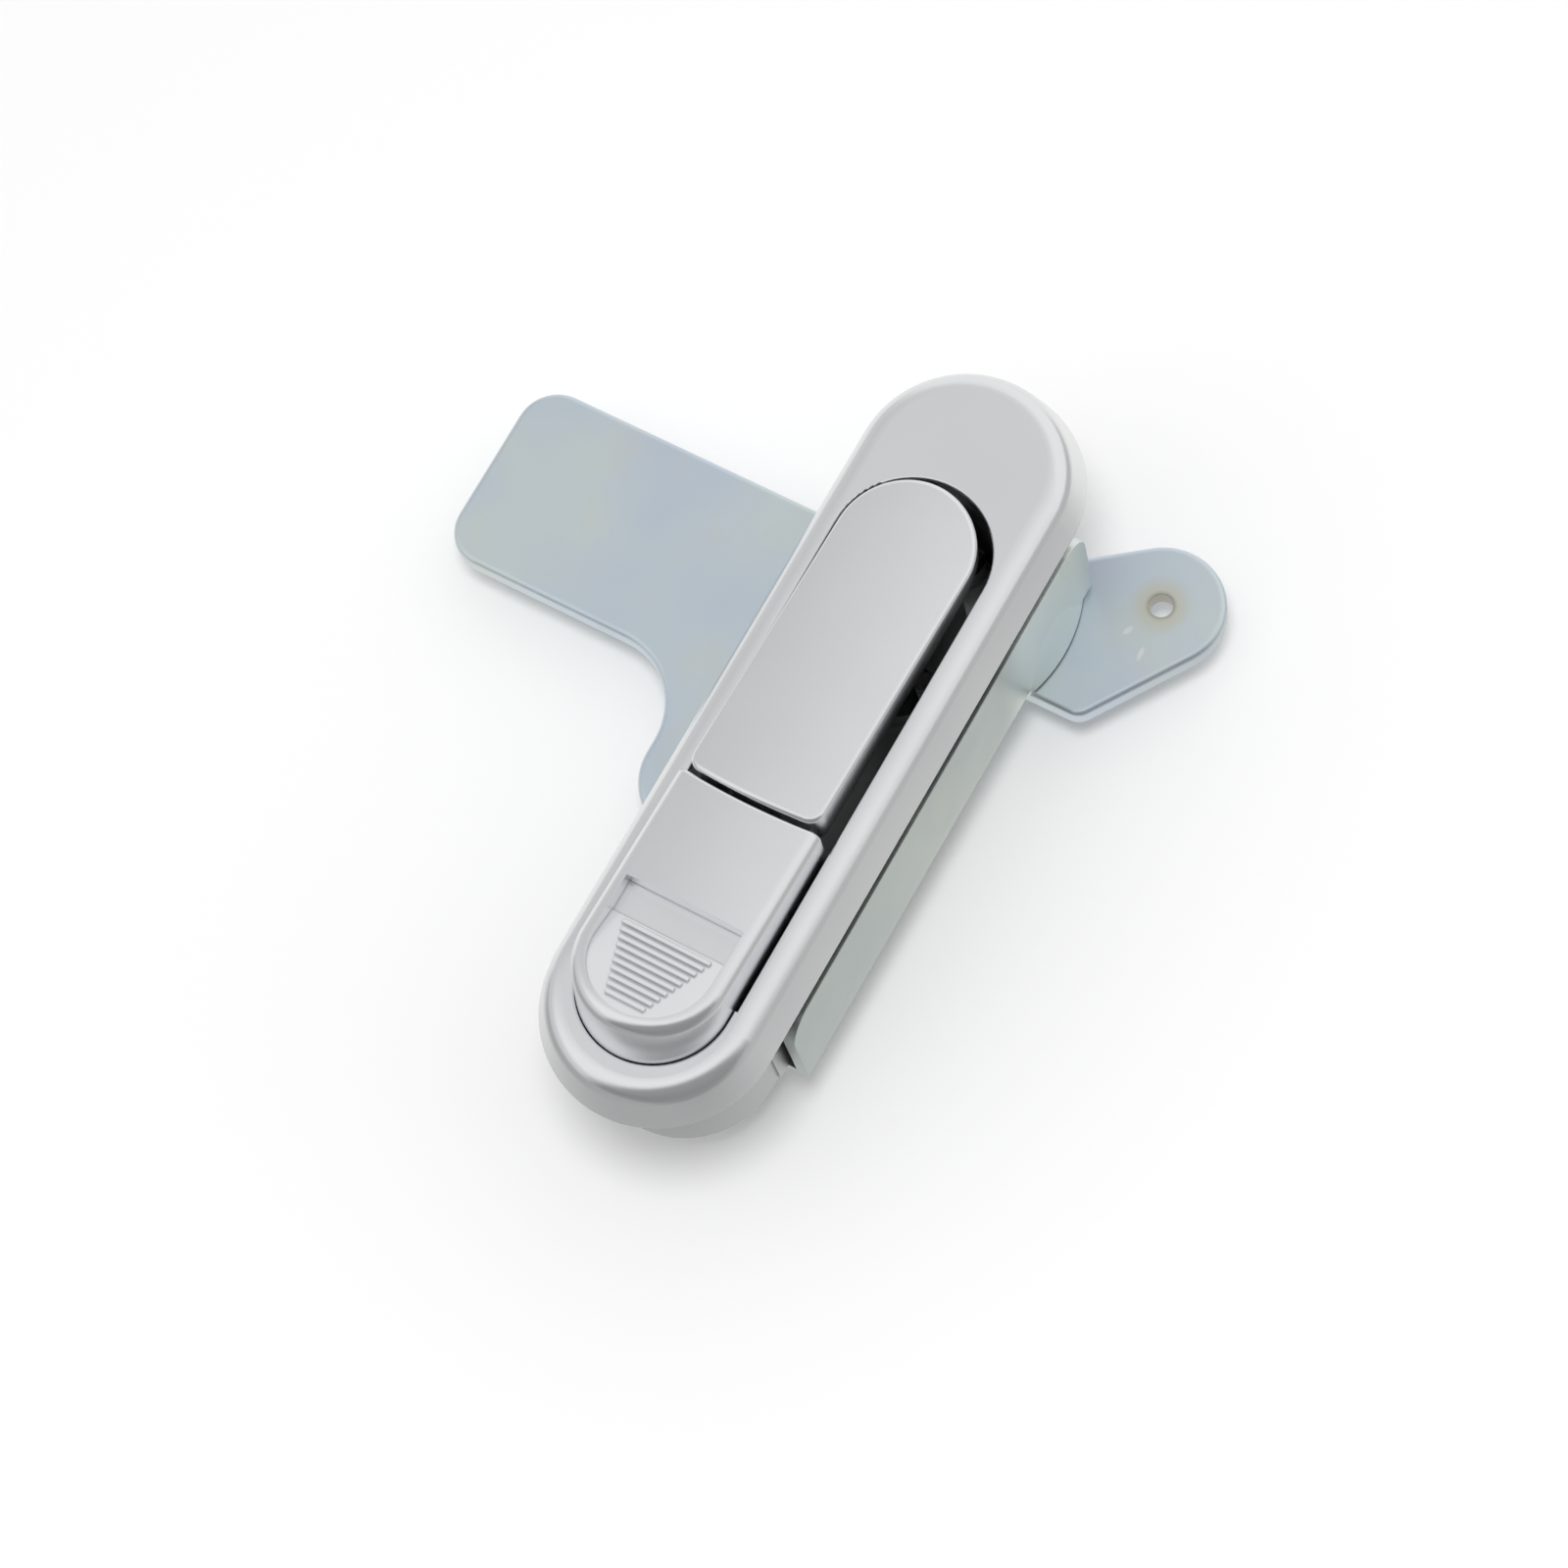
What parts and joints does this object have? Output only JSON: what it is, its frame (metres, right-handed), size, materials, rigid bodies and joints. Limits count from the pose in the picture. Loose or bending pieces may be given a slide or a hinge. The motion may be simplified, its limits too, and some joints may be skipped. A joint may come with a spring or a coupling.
{
  "type": "pushbutton cabinet latch",
  "caption": "Flush quarter-turn panel latch: a press of the thumb button frees a pop-up handle that turns a plated cam plate with a latch paddle and rod ears.",
  "frame": {"origin": "centre of the bezel's outline on the panel's front face", "axes": "+Z out of the panel, +Y along the bezel to its plain end, +X to the rod ear"},
  "size_m": [0.1153, 0.126, 0.0516],
  "materials": {
    "satin_chrome": "satin",
    "zinc_plated_steel": "zinc plated, blue passivated",
    "bright_steel": "turned",
    "spring_steel": "drawn wire",
    "black_rubber": "matt",
    "white_nylon": "matt"
  },
  "bodies": {
    "housing": {"bezel": "satin_chrome", "gasket": "black_rubber", "mounting_bracket": "zinc_plated_steel", "bracket_screws": "zinc_plated_steel", "thrust_washer": "white_nylon", "stop_pin": "bright_steel", "catch_pin": "bright_steel", "guide_pin": "bright_steel", "catch_spring": "spring_steel"},
    "spindle": {"spindle": "bright_steel", "spindle_o_ring": "black_rubber", "spindle_circlip": "bright_steel", "cam_plate": "zinc_plated_steel", "cam_washer": "zinc_plated_steel", "cam_spring_washer": "zinc_plated_steel", "cam_screw": "zinc_plated_steel", "handle_spring": "spring_steel"},
    "handle": {"handle": "satin_chrome", "handle_pin": "bright_steel"},
    "button": {"push_button": "satin_chrome"},
    "catch": {"catch_lever": "bright_steel"}
  },
  "joints": [
    {"name": "spindle_turn", "type": "hinge", "parent": "housing", "child": "spindle", "pos_m": [0, 0.021, 0], "axis": [0, 0, 1], "range_deg": [0, 90]},
    {"name": "handle_lift", "type": "hinge", "parent": "spindle", "child": "handle", "pos_m": [0, 0.0285, 0.0062], "axis": [-1, 0, 0], "range_deg": [0, 14], "deforming": ["handle_spring"]},
    {"name": "button_press", "type": "slide", "parent": "housing", "child": "button", "axis": [0, 0, -1], "range_m": [0, 0.0025], "stiffness_N_per_m": 1500, "springref_m": -0.001, "deforming": ["catch_spring"]},
    {"name": "catch_swing", "type": "hinge", "parent": "housing", "child": "catch", "pos_m": [0, -0.0206, -0.004], "axis": [1, 0, 0], "range_deg": [0, 10.5]}
  ],
  "couplings": [
    {"joint": "catch_swing", "follows": "button_press", "rad_per_m": 71.814}
  ]
}
